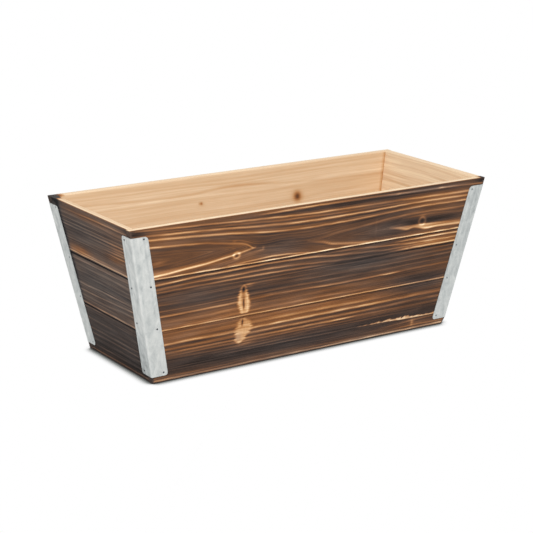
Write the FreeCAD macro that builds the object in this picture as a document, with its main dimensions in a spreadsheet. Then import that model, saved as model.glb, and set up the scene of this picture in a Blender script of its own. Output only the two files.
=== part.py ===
import FreeCAD, Part
import Sketcher
import math
import os

# Indoor herb planter: an open box of four leaning softwood walls round a bottom board,
# with a galvanised angle strap bent round each corner and held by small brads.
# Millimetres. The origin is the middle of the base, Z is up, X runs along the box,
# and the front wall faces -Y. Walls lean outwards, so the rim is larger than the base.

doc = FreeCAD.newDocument("herb_planter")

# Driving sizes

driving_sizes = [
    ("top_length", 450.0, "outside length of the box at the rim"),
    ("top_width", 178.0, "outside width of the box at the rim"),
    ("height", 170.0, "height of the box"),
    ("end_splay", 35.5, "how far each end wall runs out from base to rim"),
    ("side_splay", 20.75, "how far each long wall runs out from base to rim"),
    ("board", 8.0, "thickness of the wall boards, square to their face"),
    ("bottom_board", 8.0, "thickness of the bottom board"),
    ("edge_easing", 0.8, "radius of the sanded arrises of the walls"),
    ("lower_groove", 56.2, "height of the lower scored groove"),
    ("upper_groove", 113.5, "height of the upper scored groove"),
    ("groove_width", 2.0, "width of a scored groove at the face"),
    ("groove_depth", 1.3, "depth of a scored groove"),
    ("strap_sheet", 0.6, "thickness of the strap's steel sheet"),
    ("strap_flange", 18.3, "width of each strap flange from the corner"),
    ("strap_rim_gap", 8.0, "bare wood between a strap's top and the rim"),
    ("strap_base_gap", 7.6, "bare wood between a strap's foot and the base"),
    ("strap_corner", 3.5, "radius of a strap's free corners"),
    ("strap_bend", 1.0, "outer radius of the bend along the corner"),
    ("brad_edge", 4.6, "from a strap's free edge to the middle of its brads"),
    ("brad_end_gap", 2.0, "from a strap's top or foot to where its brads may start"),
    ("brad_head", 1.9, "diameter of a brad's head"),
    ("brad_head_depth", 0.5, "depth of a brad's tapered head"),
    ("brad_shank", 1.2, "diameter of a brad's shank"),
    ("brad_length", 7.6, "length of a brad with its head"),
    ("pin_shank", 1.2, "diameter of the headless pins"),
    ("pin_length", 20.0, "length of the headless pins"),
    ("pin_setback", 1.5, "how deep the pins are punched below the face"),
    ("point_length", 1.4, "length of the point of a brad or pin"),
    ("overrun", 5.0, "how far a cutting shape reaches past the wood"),
]

# Heights of the brads as shares of the stretch of strap that takes them, for each corner:
# first the flange on the long wall, then the flange on the end wall.
brad_height_shares = {
    ("front", "left"): ((0.011, 0.340, 0.652, 0.998), (0.014, 0.375, 0.635, 0.985)),
    ("front", "right"): ((0.015, 0.310, 0.564, 0.987), (0.013, 0.343, 0.660, 0.992)),
    ("back", "left"): ((0.013, 0.334, 0.665, 0.990), (0.010, 0.350, 0.639, 0.999)),
    ("back", "right"): ((0.016, 0.326, 0.646, 0.994), (0.012, 0.356, 0.671, 0.987)),
}
corner_pin_height_shares = (0.2, 0.5, 0.8)
long_wall_pin_shares = (-0.36, -0.12, 0.12, 0.36)
end_wall_pin_shares = (-0.25, 0.25)

side_sign = {"front": -1, "back": 1}
end_sign = {"left": -1, "right": 1}

# Sine of the angle under which two directions count as the same
parallel = 0.001

dims = doc.addObject("Spreadsheet::Sheet", "dims")
for row, (word, value, meaning) in enumerate(driving_sizes, start=1):
    dims.set(f"A{row}", meaning)
    dims.set(f"B{row}", str(value))
    dims.setAlias(f"B{row}", word)
doc.recompute()

size = {word: dims.get(word) for word, value, meaning in driving_sizes}

# Formulas that several pieces share

board_level_in_long_wall = "(dims.board * hypot(dims.height; dims.side_splay) / dims.height)"
board_level_in_end_wall = "(dims.board * hypot(dims.height; dims.end_splay) / dims.height)"
sheet_level_on_long_wall = "(dims.strap_sheet * hypot(dims.height; dims.side_splay) / dims.height)"
sheet_level_on_end_wall = "(dims.strap_sheet * hypot(dims.height; dims.end_splay) / dims.height)"
corner_length = "sqrt(pow(dims.height; 2) + pow(dims.side_splay; 2) + pow(dims.end_splay; 2))"
flange_level_along = f"(dims.strap_flange * {corner_length} / hypot(dims.height; dims.side_splay))"
flange_level_across = f"(dims.strap_flange * {corner_length} / hypot(dims.height; dims.end_splay))"
strap_foot = "dims.strap_base_gap"
strap_top = "(dims.height - dims.strap_rim_gap)"


def half_length(height):
    """half the outside length of the box at a height"""
    return f"(dims.top_length / 2 - dims.end_splay * (1 - {height} / dims.height))"


def half_width(height):
    """half the outside width of the box at a height"""
    return f"(dims.top_width / 2 - dims.side_splay * (1 - {height} / dims.height))"


# Making features

def own_plane(body, plane):
    """one of the body's own origin planes"""
    return next(item for item in body.Origin.OriginFeatures if item.Role == plane)


def closed_sketch(body, name, plane, outlines):
    """straight-sided outlines on one of the body's own planes, each corner given by two formulas

    Each outline is first drawn on a circle, and its formulas then pull the corners to their places.
    """
    sketch = body.newObject("Sketcher::SketchObject", name)
    sketch.AttachmentSupport = [(own_plane(body, plane), "")]
    sketch.MapMode = "FlatFace"
    for corners in outlines:
        count = len(corners)
        first = sketch.GeometryCount
        angles = [2 * math.pi * step / count for step in range(count)]
        ring = [FreeCAD.Vector(math.cos(angle), math.sin(angle), 0) * size["height"] for angle in angles]
        for step, start in enumerate(ring):
            sketch.addGeometry(Part.LineSegment(start, ring[(step + 1) % count]))
        for step in range(count):
            following = first + (step + 1) % count
            sketch.addConstraint(Sketcher.Constraint("Coincident", first + step, 2, following, 1))
        for step, place in enumerate(corners):
            for kind, formula in zip(("DistanceX", "DistanceY"), place):
                distance = Sketcher.Constraint(kind, -1, 1, first + step, 1, size["height"])
                index = sketch.addConstraint(distance)
                sketch.setExpression(f"Constraints[{index}]", formula)
    return sketch


def symmetric_feature(body, kind, name, sketch, length):
    """a pad or a pocket of a sketch, as long to one side of its plane as to the other"""
    feature = body.newObject(kind, name)
    feature.Profile = sketch
    feature.SideType = "Symmetric"
    feature.setExpression("Length", length)
    doc.recompute()


def rounded_edges(body, name, chosen, radius):
    """round the edges of the body's last feature that the test chooses"""
    base = body.Tip
    names = [f"Edge{number}" for number, edge in enumerate(base.Shape.Edges, start=1) if chosen(edge)]
    feature = body.newObject("PartDesign::Fillet", name)
    feature.Base = (base, names)
    feature.setExpression("Radius", radius)
    doc.recompute()


def upright_wedge(name, foot, top, foot_plan, top_plan):
    """a block between two level rectangles, each given as left, right, front and back"""
    body = doc.addObject("PartDesign::Body", name)
    wedge = body.newObject("PartDesign::AdditiveWedge", f"{name}_wedge")
    wedge.AttachmentSupport = [(own_plane(body, "XZ_Plane"), "")]
    wedge.MapMode = "FlatFace"
    wedge.setExpression("Ymin", foot)
    wedge.setExpression("Ymax", top)
    for mark, (left, right, front, back) in (("", foot_plan), ("2", top_plan)):
        wedge.setExpression(f"X{mark}min", left)
        wedge.setExpression(f"X{mark}max", right)
        wedge.setExpression(f"Z{mark}min", f"-{back}")
        wedge.setExpression(f"Z{mark}max", f"-{front}")
    doc.recompute()
    return body


def combined(kind, name, base, tool):
    """the cut or the common part of two objects"""
    result = doc.addObject(kind, name)
    result.Base = base
    result.Tool = tool
    return result


def mirrored(name, source, normal):
    """the mirror image of an object in a plane through the origin"""
    image = doc.addObject("Part::Mirroring", name)
    image.Source = source
    image.Normal = normal
    return image


def corner_at(side, end, height):
    """a point on one of the box's four leaning corner lines"""
    drop = 1 - height / size["height"]
    return FreeCAD.Vector(
        end * (size["top_length"] / 2 - size["end_splay"] * drop),
        side * (size["top_width"] / 2 - size["side_splay"] * drop),
        height,
    )


# Walls

def level_edges(axis, outer_foot):
    """a test for the arrises to be sanded: both rim edges of a wall and its outer foot edge"""
    near = size["edge_easing"] / 10

    def chosen(edge):
        start = edge.Vertexes[0].Point
        direction = (edge.Vertexes[-1].Point - start).normalize()
        at_rim = abs(start.z - size["height"]) < near
        at_foot = (start - outer_foot).cross(axis).Length < near
        lies_along = direction.cross(axis).Length < parallel
        return lies_along and (at_rim or at_foot)

    return chosen


def wall(name, planes, axis, outer, thickness, half_at, length, outer_foot):
    """a leaning wall: its section is run along the wall, grooved, sanded and trimmed at both ends"""
    section_plane, trim_plane = planes
    body = doc.addObject("PartDesign::Body", f"{name}_blank")
    section = closed_sketch(body, f"{name}_section", section_plane, [[
        (outer("0"), "0"),
        (outer("dims.height"), "dims.height"),
        (f"{outer('dims.height')} + {thickness}", "dims.height"),
        (f"{outer('0')} + {thickness}", "0"),
    ]])
    symmetric_feature(body, "PartDesign::Pad", f"{name}_board", section, length)

    notches = []
    for groove in ("dims.lower_groove", "dims.upper_groove"):
        upper = f"({groove} + dims.groove_width / 2)"
        lower = f"({groove} - dims.groove_width / 2)"
        notches.append([
            (outer(upper), upper),
            (f"{outer(groove)} + dims.groove_depth", groove),
            (outer(lower), lower),
            (f"{outer(groove)} - dims.overrun", groove),
        ])
    scoring = closed_sketch(body, f"{name}_scoring", section_plane, notches)
    symmetric_feature(body, "PartDesign::Pocket", f"{name}_grooves", scoring, f"{length} + 2 * dims.overrun")
    rounded_edges(body, f"{name}_arrises", level_edges(axis, outer_foot), "dims.edge_easing")

    trims = []
    for side in ("-", ""):
        outside = f"{side}({length} / 2 + dims.overrun)"
        trims.append([
            (f"{side}{half_at('0')}", "0"),
            (f"{side}{half_at('dims.height')}", "dims.height"),
            (outside, "dims.height"),
            (outside, "0"),
        ])
    trim = closed_sketch(body, f"{name}_trim", trim_plane, trims)
    symmetric_feature(body, "PartDesign::Pocket", f"{name}_ends", trim, "2 * dims.top_length")
    return body


def long_wall_outer(height):
    """the front wall's outer face, along Y"""
    return f"-{half_width(height)}"


def end_wall_outer(height):
    """the left end wall's outer face, along X"""
    return f"-{half_length(height)}"


def between_long_walls(height):
    """half the room between the long walls at a height"""
    return f"({half_width(height)} - {board_level_in_long_wall})"


base_half_length = size["top_length"] / 2 - size["end_splay"]
base_half_width = size["top_width"] / 2 - size["side_splay"]

front_blank = wall(
    "front_wall", ("YZ_Plane", "XZ_Plane"), FreeCAD.Vector(1, 0, 0), long_wall_outer,
    board_level_in_long_wall, half_length, "dims.top_length", FreeCAD.Vector(0, -base_half_width, 0),
)
left_blank = wall(
    "left_end_wall", ("XZ_Plane", "YZ_Plane"), FreeCAD.Vector(0, 1, 0), end_wall_outer,
    board_level_in_end_wall, between_long_walls, "dims.top_width", FreeCAD.Vector(-base_half_length, 0, 0),
)
back_blank = mirrored("back_wall_blank", front_blank, FreeCAD.Vector(0, 1, 0))
right_blank = mirrored("right_end_wall_blank", left_blank, FreeCAD.Vector(1, 0, 0))

# Bottom board: it fills the foot of the box, and its edges lean with the walls


def room_at(height):
    """left, right, front and back of the room between the four walls at a height"""
    along = f"({half_length(height)} - {board_level_in_end_wall})"
    across = between_long_walls(height)
    return f"-{along}", along, f"-{across}", across


bottom_blank = upright_wedge(
    "bottom_board_blank", "0", "dims.bottom_board", room_at("0"), room_at("dims.bottom_board"),
)

# Corner straps: a skin of sheet round the box, of which each strap is the piece at one corner


def plan_at(height, spread_along, spread_across):
    """left, right, front and back of the box at a height, spread by a sheet's level thickness"""
    along = f"({half_length(height)} + {spread_along})"
    across = f"({half_width(height)} + {spread_across})"
    return f"-{along}", along, f"-{across}", across


def corner_plan_at(height):
    """the piece of that plan that the front left strap takes, out past the skin"""
    left = f"-{half_length(height)}"
    front = f"-{half_width(height)}"
    return (
        f"({left} - dims.overrun)",
        f"({left} + {flange_level_along})",
        f"({front} - dims.overrun)",
        f"({front} + {flange_level_across})",
    )


box = upright_wedge("box", "0", "dims.height", plan_at("0", "0", "0"), plan_at("dims.height", "0", "0"))
skin_outside = upright_wedge(
    "skin_outside", strap_foot, strap_top,
    plan_at(strap_foot, sheet_level_on_end_wall, sheet_level_on_long_wall),
    plan_at(strap_top, sheet_level_on_end_wall, sheet_level_on_long_wall),
)
corner_block = upright_wedge(
    "corner_block", strap_foot, strap_top, corner_plan_at(strap_foot), corner_plan_at(strap_top),
)
doc.recompute()


def free_end(edge):
    """the block's level edges, at top and foot, on the side of the box"""
    start = edge.Vertexes[0].Point
    end = edge.Vertexes[-1].Point
    inwards = edge.CenterOfMass - corner_at(side_sign["front"], end_sign["left"], edge.CenterOfMass.z)
    return abs(start.z - end.z) < size["strap_sheet"] and inwards.x + inwards.y > size["strap_flange"]


rounded_edges(corner_block, "strap_free_corners", free_end, "dims.strap_corner")
skin = combined("Part::Cut", "skin", skin_outside, box)
bent_sheet = combined("Part::Common", "bent_sheet", skin, corner_block)
doc.recompute()


def outer_bend(edge):
    """the strap's long outer edge on the box's corner"""
    middle = edge.CenterOfMass
    outwards = corner_at(side_sign["front"], end_sign["left"], middle.z) - middle
    return edge.Length > size["height"] / 2 and min(outwards.x, outwards.y) > size["strap_sheet"] / 2


front_left_sheet = doc.addObject("PartDesign::Body", "front_left_sheet")
front_left_sheet.BaseFeature = bent_sheet
doc.recompute()
rounded_edges(front_left_sheet, "strap_bend_line", outer_bend, "dims.strap_bend")
front_right_sheet = mirrored("front_right_sheet", front_left_sheet, FreeCAD.Vector(1, 0, 0))
strap_sheets = {
    ("front", "left"): front_left_sheet,
    ("front", "right"): front_right_sheet,
    ("back", "left"): mirrored("back_left_sheet", front_left_sheet, FreeCAD.Vector(0, 1, 0)),
    ("back", "right"): mirrored("back_right_sheet", front_right_sheet, FreeCAD.Vector(0, 1, 0)),
}

# Brads and pins: one of each is turned about its own axis, and copies of it are driven in


def turned(name, profile):
    """a fixing turned about Z, with its head's top on the origin and its point below"""
    body = doc.addObject("PartDesign::Body", name)
    sketch = closed_sketch(body, f"{name}_profile", "XZ_Plane", [profile])
    feature = body.newObject("PartDesign::Revolution", f"{name}_turning")
    feature.Profile = sketch
    feature.ReferenceAxis = (sketch, ["V_Axis"])
    feature.Angle = 360
    doc.recompute()
    return body


brad = turned("brad", [
    ("0", "0"),
    ("dims.brad_head / 2", "0"),
    ("dims.brad_shank / 2", "-dims.brad_head_depth"),
    ("dims.brad_shank / 2", "-(dims.brad_length - dims.point_length)"),
    ("0", "-dims.brad_length"),
])
pin = turned("pin", [
    ("0", "0"),
    ("dims.pin_shank / 2", "0"),
    ("dims.pin_shank / 2", "-(dims.pin_length - dims.point_length)"),
    ("0", "-dims.pin_length"),
])


def driven_in(name, fixing, places):
    """a group of copies of a fixing, each at a point and with its head facing outwards"""
    copies = []
    for number, (point, outward) in enumerate(places, start=1):
        copy = doc.addObject("App::Link", f"{name}_{number}")
        copy.LinkedObject = fixing
        copy.Placement = FreeCAD.Placement(point, FreeCAD.Rotation(FreeCAD.Vector(0, 0, 1), outward))
        copies.append(copy)
    group = doc.addObject("Part::Compound", name)
    group.Links = copies
    return group


def outward_of(side, end):
    """the outward directions of the long wall and the end wall that meet at a corner"""
    long_wall = FreeCAD.Vector(0, side * size["height"], -size["side_splay"]).normalize()
    end_wall = FreeCAD.Vector(end * size["height"], 0, -size["end_splay"]).normalize()
    return long_wall, end_wall


def on_wall(side, end, inwards, from_corner, height):
    """a point of a wall's outer face at a height and at a distance square to the corner"""
    foot = corner_at(side, end, 0)
    edge = (corner_at(side, end, size["height"]) - foot).normalize()
    across = (inwards - edge * inwards.dot(edge)).normalize() * from_corner
    return foot + across + edge * ((height - across.z) / edge.z)


lowest_brad = size["strap_base_gap"] + size["brad_end_gap"]
highest_brad = size["height"] - size["strap_rim_gap"] - size["brad_end_gap"]
brad_groups = {}
corner_pin_groups = {}
for (side_word, end_word), (long_shares, end_shares) in brad_height_shares.items():
    side = side_sign[side_word]
    end = end_sign[end_word]
    long_outward, end_outward = outward_of(side, end)
    along = FreeCAD.Vector(-end, 0, 0)
    across = FreeCAD.Vector(0, -side, 0)
    from_corner = size["strap_flange"] - size["brad_edge"]
    places = []
    for inwards, outward, shares in ((along, long_outward, long_shares), (across, end_outward, end_shares)):
        for share in shares:
            height = lowest_brad + share * (highest_brad - lowest_brad)
            point = on_wall(side, end, inwards, from_corner, height)
            places.append((point + outward * size["strap_sheet"], outward))
    corner = f"{side_word}_{end_word}"
    brad_groups[corner] = driven_in(f"{corner}_strap_brads", brad, places)

    places = []
    for share in corner_pin_height_shares:
        point = on_wall(side, end, along, size["board"] / 2, share * size["height"])
        places.append((point - long_outward * size["pin_setback"], long_outward))
    corner_pin_groups[corner] = driven_in(f"{corner}_corner_pins", pin, places)

pin_level = size["bottom_board"] / 2
rise = pin_level / size["height"]
bottom_pin_groups = {}
for word, sign in side_sign.items():
    face = base_half_width + size["side_splay"] * rise - size["pin_setback"]
    places = [
        (FreeCAD.Vector(share * 2 * base_half_length, sign * face, pin_level), FreeCAD.Vector(0, sign, 0))
        for share in long_wall_pin_shares
    ]
    bottom_pin_groups[word] = driven_in(f"{word}_bottom_pins", pin, places)
for word, sign in end_sign.items():
    face = base_half_length + size["end_splay"] * rise - size["pin_setback"]
    places = [
        (FreeCAD.Vector(sign * face, share * 2 * base_half_width, pin_level), FreeCAD.Vector(sign, 0, 0))
        for share in end_wall_pin_shares
    ]
    bottom_pin_groups[word] = driven_in(f"{word}_bottom_pins", pin, places)

fixings = doc.addObject("Part::Compound", "all_fixings")
fixings.Links = [*brad_groups.values(), *corner_pin_groups.values(), *bottom_pin_groups.values()]

# Boards and straps with the holes that their brads and pins fill

pierced = {
    "front_wall": front_blank,
    "back_wall": back_blank,
    "left_end_wall": left_blank,
    "right_end_wall": right_blank,
    "bottom_board": bottom_blank,
}
for (side_word, end_word), sheet_piece in strap_sheets.items():
    pierced[f"{side_word}_{end_word}_strap"] = sheet_piece

sub_parts = {name: combined("Part::Cut", name, blank, fixings) for name, blank in pierced.items()}
for group in fixings.Links:
    sub_parts[group.Name] = group

for name, piece in sub_parts.items():
    piece.Label = name
doc.recompute()

# Checks and files

for item in doc.Objects:
    if "Invalid" in item.State or "Error" in item.State:
        raise RuntimeError(f"{item.Name} failed: {item.State}")
for name, piece in sub_parts.items():
    if piece.Shape.isNull() or not piece.Shape.isValid() or not piece.Shape.Solids:
        raise RuntimeError(f"{name} has no sound shape")

os.makedirs("parts", exist_ok=True)
for piece in sub_parts.values():
    piece.Shape.exportStep(f"parts/{piece.Label}.step")
    print(piece.Label, len(piece.Shape.Solids), "solids", round(piece.Shape.Volume, 1), "mm3")
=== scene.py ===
import math

import bmesh
import bpy
import numpy as np
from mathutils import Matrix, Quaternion, Vector


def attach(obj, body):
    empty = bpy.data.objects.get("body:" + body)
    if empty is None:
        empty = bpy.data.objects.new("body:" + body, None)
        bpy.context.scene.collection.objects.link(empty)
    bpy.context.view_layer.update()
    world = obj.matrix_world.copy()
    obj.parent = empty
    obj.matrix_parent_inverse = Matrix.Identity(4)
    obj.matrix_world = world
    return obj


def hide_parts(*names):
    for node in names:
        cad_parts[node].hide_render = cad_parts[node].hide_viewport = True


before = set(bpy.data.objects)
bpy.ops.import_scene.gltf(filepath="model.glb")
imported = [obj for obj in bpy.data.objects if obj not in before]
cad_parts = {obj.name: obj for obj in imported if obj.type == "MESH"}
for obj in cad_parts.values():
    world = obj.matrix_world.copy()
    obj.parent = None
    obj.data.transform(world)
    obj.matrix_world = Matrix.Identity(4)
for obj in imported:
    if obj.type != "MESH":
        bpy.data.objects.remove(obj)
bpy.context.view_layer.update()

# An indoor herb planter: four leaning boards of torched and brushed fir, raw inside, round a
# raw bottom board, with a bent galvanised strap nailed over each corner. Metres; the tables
# of the wood's figure are in millimetres along and up a wall.

MM = 0.001

# Sizes that the boards and straps take from the planter

HEIGHT = 170.0
HALF_LENGTH_FOOT, END_SPLAY = 189.5, 35.5
HALF_WIDTH_FOOT, SIDE_SPLAY = 68.25, 20.75
HALF_RIM = HALF_LENGTH_FOOT + END_SPLAY
HALF_END_RIM = 81
BOARD = 8.0
EASING = 0.86
ROUND_MIDDLE = 0.293 * EASING
LOWER_GROOVE, UPPER_GROOVE = 55.8, 113.1
SHEET = 0.6
STRAP_FOOT, STRAP_TOP = 7.6, 162.0
STRAP_CORNER, STRAP_BEND = 3.5, 1.3
FLANGE_ALONG, FLANGE_ACROSS = 18.69, 18.43

LONG_LEAN = math.hypot(HEIGHT, SIDE_SPLAY) / HEIGHT
END_LEAN = math.hypot(HEIGHT, END_SPLAY) / HEIGHT
LONG_LEVEL, END_LEVEL = BOARD * LONG_LEAN, BOARD * END_LEAN
LONG_SHEET, END_SHEET = SHEET * LONG_LEAN, SHEET * END_LEAN


def half_length(z):
    return HALF_LENGTH_FOOT + END_SPLAY * z / HEIGHT


def half_width(z):
    return HALF_WIDTH_FOOT + SIDE_SPLAY * z / HEIGHT


def between(z):
    """half the length of an end wall, which stands between the long ones"""
    return half_width(z) - LONG_LEVEL


def show(name, data):
    """a new object of the scene"""
    made = bpy.data.objects.new(name, data)
    bpy.context.scene.collection.objects.link(made)
    return made


def finished(maker, name):
    mesh = bpy.data.meshes.new(name)
    maker.to_mesh(mesh)
    maker.free()
    return mesh


# Materials

def shade(text):
    """an sRGB hex colour as linear light"""
    parts = [int(text[start:start + 2], 16) / 255 for start in (0, 2, 4)]
    light = [part / 12.92 if part <= 0.04045 else ((part + 0.055) / 1.055) ** 2.4 for part in parts]
    return light + [1.0]


def add(tree, kind, inputs, stops=(), out=0, **settings):
    """one output of a new node; a socket among its inputs is linked, anything else is set"""
    made = tree.nodes.new("ShaderNode" + kind)
    for name, value in settings.items():
        setattr(made, name, value)
    for step, (place, text) in enumerate(stops):
        elements = made.color_ramp.elements
        element = elements[step] if step < 2 else elements.new(place)
        element.position = place
        element.color = shade(text)
    for key, value in inputs.items():
        if isinstance(value, bpy.types.NodeSocket):
            tree.links.new(value, made.inputs[key])
        else:
            made.inputs[key].default_value = value
    return made.outputs[out] if made.outputs else None


def new_material(name):
    material = bpy.data.materials.new(name)
    material.use_nodes = True
    material.node_tree.nodes.clear()
    return material, material.node_tree


def finish_material(tree, height, strength, depth, inputs):
    """a material's shader, with a bump from a height: how strong, and how deep in millimetres"""
    bump = add(tree, "Bump", {"Height": height, "Strength": strength, "Distance": depth * MM})
    shader = add(tree, "BsdfPrincipled", inputs | {"Normal": bump})
    add(tree, "OutputMaterial", {"Surface": shader})


# From char through burnt brown to clean wood; the second ramp is the same under grey soot
TORCHED_STOPS = [
    (0.10, "17120f"), (0.25, "3e3029"), (0.33, "543a2a"), (0.42, "6b472d"), (0.50, "805332"),
    (0.60, "98683f"), (0.70, "b38254"), (0.80, "cca072"), (0.90, "e5c295"), (1.0, "fae4c0"),
]
SOOTY_STOPS = [
    (0.10, "161515"), (0.25, "3d3938"), (0.33, "524944"), (0.42, "695d55"), (0.55, "8a7566"),
    (0.70, "b3967c"), (0.85, "d8bda0"), (1.0, "f6e3ca"),
]
RAW_STOPS = [
    (0.20, "2e2a28"), (0.40, "724a2e"), (0.55, "9b6a42"), (0.68, "b5875a"), (0.78, "c7a078"),
    (0.86, "d3b490"), (0.90, "dcc09f"), (0.95, "ebd5b4"), (1.0, "f8e8cc"),
]
# The grain is fibres of 0.5 mm, streaks of 1.3 mm and clouds of 9 mm: reach along, across, and detail
GRAIN = {"fibre": (40, 0.5, 2), "streak": (150, 1.3, 3), "cloud": (55, 9, 2)}
SOOT_DRIFT = 0.8
STREAK_HEIGHT, GRAIN_HEIGHT = 1.4, 0.25


def grain_layers(tree, rings):
    """the three noises, stretched along the rings"""
    layers = {}
    for word, (along, across, detail) in GRAIN.items():
        inputs = {0: rings, 1: (1 / along, 1 / across, 1 / across)}
        spread = add(tree, "VectorMath", inputs, operation="MULTIPLY")
        inputs = {"Vector": spread, "Scale": 1.0, "Detail": detail, "Roughness": 0.6}
        layers[word] = add(tree, "TexNoise", inputs)
    return layers


def sooted(tree, clean, tone, sooty_stops, cloud):
    """the clean colour, turned grey where the board keeps its soot"""
    soot = add(tree, "Attribute", {}, attribute_name="soot", out="Fac")
    sooty = add(tree, "ValToRGB", {"Fac": tone}, sooty_stops)
    drift = add(tree, "Math", {0: cloud, 1: SOOT_DRIFT, 2: -SOOT_DRIFT / 2}, operation="MULTIPLY_ADD")
    amount = add(tree, "Math", {0: soot, 1: drift}, operation="ADD", use_clamp=True)
    return add(tree, "Mix", {0: amount, 6: clean, 7: sooty}, data_type="RGBA", out=2)


def fir(name, stops, sooty_stops, strengths, roughness, sheen, relief, plain_tone=None):
    """fir whose grain follows the board's own rings and tone or, with a plain tone, runs along X"""
    material, tree = new_material(name)
    if plain_tone is None:
        rings = add(tree, "Attribute", {}, attribute_name="rings", out="Vector")
        tone = add(tree, "Attribute", {}, attribute_name="tone", out="Fac")
    else:
        place = add(tree, "TexCoord", {}, out="Object")
        millimetres = {0: place, 1: (1 / MM, 1 / MM, 1 / MM)}
        rings = add(tree, "VectorMath", millimetres, operation="MULTIPLY")
    layers = grain_layers(tree, rings)
    if plain_tone is not None:
        tone = add(tree, "Math", {0: layers["cloud"], 1: 0.04, 2: plain_tone}, operation="MULTIPLY_ADD")
    for word, strength in zip(GRAIN, strengths):
        centred = add(tree, "Math", {0: layers[word], 1: 0.5}, operation="SUBTRACT")
        tone = add(tree, "Math", {0: centred, 1: strength, 2: tone}, operation="MULTIPLY_ADD")
    base = add(tree, "ValToRGB", {"Fac": tone}, stops)
    if sooty_stops:
        base = sooted(tree, base, tone, sooty_stops, layers["cloud"])
    gloss = add(tree, "MapRange", {"Value": tone, 1: 0.2, 2: 0.9, 3: roughness[0], 4: roughness[1]})
    inputs = {0: layers["streak"], 1: STREAK_HEIGHT, 2: layers["fibre"]}
    height = add(tree, "Math", inputs, operation="MULTIPLY_ADD")
    inputs = {"Base Color": base, "Roughness": gloss, "Specular IOR Level": sheen}
    finish_material(tree, height, relief, GRAIN_HEIGHT, inputs)
    return material


# Torched and brushed fir: the flame chars the face, and the wire brush clears the lines of late
# wood again, so pale lines stand on dark brown and black
torched_fir = fir("torched_brushed_fir", TORCHED_STOPS, SOOTY_STOPS, (0.30, 0.34, 0.12),
                  (0.74, 0.58), 0.07, 0.5)
# Raw sawn fir: pale cream with faint honey-coloured lines, and knots in brown
raw_fir = fir("raw_fir", RAW_STOPS, None, (0.08, 0.13, 0.05), (0.72, 0.62), 0.15, 0.15)
# The same raw fir on the bottom board, with the grain along the planter
raw_fir_board = fir("raw_fir_board", RAW_STOPS, None, (0.05, 0.10, 0.06), (0.72, 0.62), 0.15, 0.15, 0.85)


def galvanised():
    """hot-dip galvanised sheet: dull zinc with clouds of 9 mm, small crystals and fine specks"""
    material, tree = new_material("galvanised_sheet_steel")
    place = add(tree, "TexCoord", {}, out="Object")
    clouds = add(tree, "VectorMath", {0: place, 1: (160, 160, 70)}, operation="MULTIPLY")
    inputs = {"Vector": clouds, "Scale": 1.0, "Detail": 4.0, "Roughness": 0.62, "Distortion": 0.6}
    cloud = add(tree, "TexNoise", inputs)
    crystal = add(tree, "TexVoronoi", {"Vector": place, "Scale": 330.0, "Randomness": 1.0}, out="Color")
    speck = add(tree, "TexNoise", {"Vector": place, "Scale": 900.0, "Detail": 2.0})
    zinc = cloud
    for layer, strength in ((crystal, 0.10), (speck, 0.22)):
        zinc = add(tree, "Math", {0: layer, 1: strength, 2: zinc}, operation="MULTIPLY_ADD")
    # the patina attribute also carries painted shade on the straps and a painted highlight along their bends
    patina_and_painted_light = add(tree, "Attribute", {}, attribute_name="patina_and_painted_light", out="Fac")
    weathered_and_painted_light = add(tree, "Math", {0: zinc, 1: patina_and_painted_light}, operation="SUBTRACT")
    colour = add(tree, "ValToRGB", {"Fac": weathered_and_painted_light}, [
        (0.10, "969a99"), (0.36, "b6bab9"), (0.56, "c6c9c7"), (0.76, "d3d5d2"), (0.96, "dedfdc"),
    ])
    dull = add(tree, "MapRange", {"Value": cloud, 1: 0.3, 2: 0.7, 3: 0.62, 4: 0.50})
    inputs = {"Base Color": colour, "Metallic": 0.85, "Roughness": dull}
    finish_material(tree, cloud, 0.15, 0.3, inputs)
    return material


def wire_steel(name, low_stop, high_stop, roughness):
    """steel wire, dark or bright, with the drawing marks and scale of a nail"""
    material, tree = new_material(name)
    place = add(tree, "TexCoord", {}, out="Object")
    grain = add(tree, "TexNoise", {"Vector": place, "Scale": 1500, "Detail": 3.0})
    stops = [(0.35, low_stop), (0.65, high_stop)]
    steel = add(tree, "ValToRGB", {"Fac": grain}, stops)
    inputs = {"Base Color": steel, "Metallic": 0.7, "Roughness": roughness}
    finish_material(tree, grain, 0.3, 0.05, inputs)
    return material


zinc_sheet = galvanised()
# Blued brad heads: dark blue-grey and dull, so they read as small dark dots on the zinc
blued_steel = wire_steel("blued_brad_steel", "2a2f35", "4f565e", 0.55)
# Brads that were struck harder: their blueing is rubbed off, so they show less on the zinc
rubbed_steel = wire_steel("rubbed_brad_steel", "6f7579", "9a9fa2", 0.5)
# Bright drawn wire of the hidden pins
bright_wire = wire_steel("bright_wire_steel", "77797b", "9a9c9d", 0.4)

# How the figure of the wood is drawn. Tones and strengths in its tables are in hundredths.

HUNDREDTHS = 100


def clamp(values):
    return np.clip(values, 0, 1)


def bell(away):
    return np.exp(-away ** 2)


def curve(at, points, column, unit=1):
    """a smooth curve through a line's points, read at many places along the wall"""
    xs = np.array([point[0] for point in points], float)
    ys = np.array([point[column] for point in points], float) / unit
    straight = np.full(len(xs), (ys[-1] - ys[0]) / (xs[-1] - xs[0]))
    slopes = np.gradient(ys, xs) if len(xs) > 2 else straight
    step = np.clip(np.searchsorted(xs, at) - 1, 0, len(xs) - 2)
    gap = xs[step + 1] - xs[step]
    t = clamp((at - xs[step]) / gap)
    return ((2 * t ** 3 - 3 * t ** 2 + 1) * ys[step] + (t ** 3 - 2 * t ** 2 + t) * gap * slopes[step]
            + (3 * t ** 2 - 2 * t ** 3) * ys[step + 1] + (t ** 3 - t ** 2) * gap * slopes[step + 1])


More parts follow.
